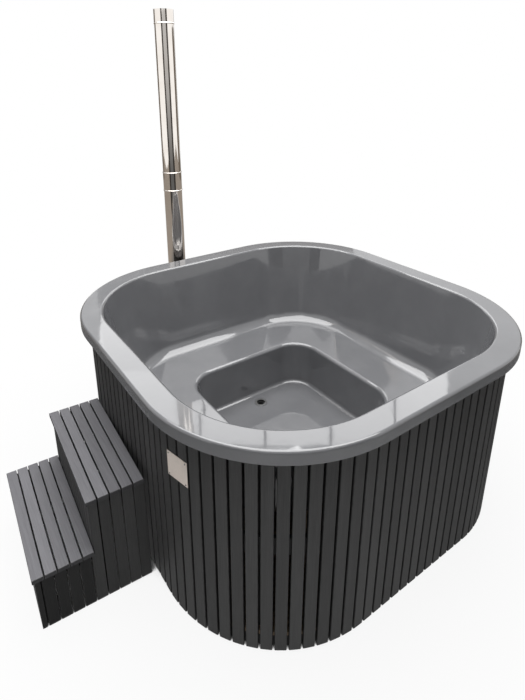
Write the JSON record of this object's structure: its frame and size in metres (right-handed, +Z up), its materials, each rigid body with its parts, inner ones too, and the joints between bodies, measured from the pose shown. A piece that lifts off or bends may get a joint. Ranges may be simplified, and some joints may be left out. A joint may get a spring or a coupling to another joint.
{
  "type": "hot tub",
  "caption": "Square hot tub with rounded corners: moulded shell, dark slatted cladding, free-standing steps and an outside wood stove with a tall flue.",
  "frame": {"origin": "on the ground under the middle of the tub, on the underside of the middle bearer", "axes": "+Z up; -Y is the front of the tub, +Y the stove side, -X the steps side, +X the drain side"},
  "size_m": [2.5522, 2.7023, 2.586],
  "materials": {
    "shell": "glossy grey gel-coat",
    "cladding": "charcoal composite slats, satin",
    "step_boards": "charcoal composite boards, brushed",
    "timber": "planed softwood",
    "plywood": "sealed plywood",
    "black_timber": "black-stained timber",
    "flue_steel": "polished stainless",
    "stove_steel": "brushed stainless",
    "stove_black": "heat-proof black paint",
    "cast_iron": "blacked cast iron",
    "bright_steel": "bright stainless",
    "handle_black": "heat-proof black",
    "plate_metal": "brushed, bare",
    "rope_seal": "glass-fibre rope",
    "lever_red": "red coating",
    "brass": "cast, machined ends",
    "hose_rubber": "black rubber",
    "pipe_plastic": "grey plastic"
  },
  "bodies": {
    "tub": {"base_bearers": "timber", "base_board": "plywood", "bench_panels": "plywood", "cladding_back": "cladding", "cladding_back_left_corner": "cladding", "cladding_back_right_corner": "cladding", "cladding_front": "cladding", "cladding_front_left_corner": "cladding", "cladding_front_right_corner": "cladding", "cladding_hoops": "black_timber", "cladding_left": "cladding", "cladding_right": "cladding", "door_hinge_pins": "bright_steel", "drain_flange": "bright_steel", "drain_nut": "pipe_plastic", "drain_pipe": "pipe_plastic", "drain_valve_body": "brass", "drain_valve_tail": "brass", "flue_collar": "stove_steel", "flue_coupling": "flue_steel", "flue_lower": "flue_steel", "flue_upper": "flue_steel", "footwell_blocks": "timber", "heater_bend_lower": "stove_steel", "heater_bend_upper": "stove_steel", "heater_fittings": "pipe_plastic", "heater_nuts": "pipe_plastic", "heater_pipe_lower": "stove_steel", "heater_pipe_upper": "stove_steel", "heater_sleeves": "hose_rubber", "name_plate": "plate_metal", "name_plate_screws": "bright_steel", "rim_posts": "black_timber", "sleeve_clips": "bright_steel", "stove_casing": "stove_steel", "stove_feet": "stove_black", "stove_firebox": "stove_black", "stove_front_plate": "stove_black", "stove_grate": "cast_iron", "stove_water_stubs": "stove_steel", "tub_shell": "shell"},
    "steps": {"step_upper_tread": "step_boards", "step_lower_tread": "step_boards", "step_near_side": "step_boards", "step_far_side": "step_boards", "step_upper_riser": "step_boards", "step_lower_riser": "step_boards", "step_frame": "black_timber"},
    "stove_door": {"stove_door": "cast_iron", "door_gasket": "rope_seal"},
    "door_latch": {"latch_spindle": "bright_steel", "door_handle": "handle_black"},
    "ash_drawer": {"ash_drawer": "stove_black", "drawer_knob": "handle_black"},
    "drain_handle": {"drain_valve_ball": "bright_steel", "drain_valve_stem": "bright_steel", "drain_valve_lever": "lever_red", "drain_lever_nut": "bright_steel"}
  },
  "joints": [
    {"name": "steps_away", "type": "slide", "parent": "tub", "child": "steps", "axis": [-1, 0, 0], "range_m": [0, 0.4]},
    {"name": "stove_door_hinge", "type": "hinge", "parent": "tub", "child": "stove_door", "pos_m": [-0.288, 1.676, 0.439], "axis": [0, 0, 1], "range_deg": [0, 115]},
    {"name": "door_latch_turn", "type": "hinge", "parent": "stove_door", "child": "door_latch", "pos_m": [0.027, 1.672, 0.439], "axis": [0, -1, 0], "range_deg": [0, 90]},
    {"name": "ash_drawer_slide", "type": "slide", "parent": "tub", "child": "ash_drawer", "axis": [0, 1, 0], "range_m": [0, 0.38]},
    {"name": "drain_lever_turn", "type": "hinge", "parent": "tub", "child": "drain_handle", "pos_m": [1.028, 0.3192, 0.12], "axis": [0, 0, 1], "range_deg": [0, 90]}
  ]
}
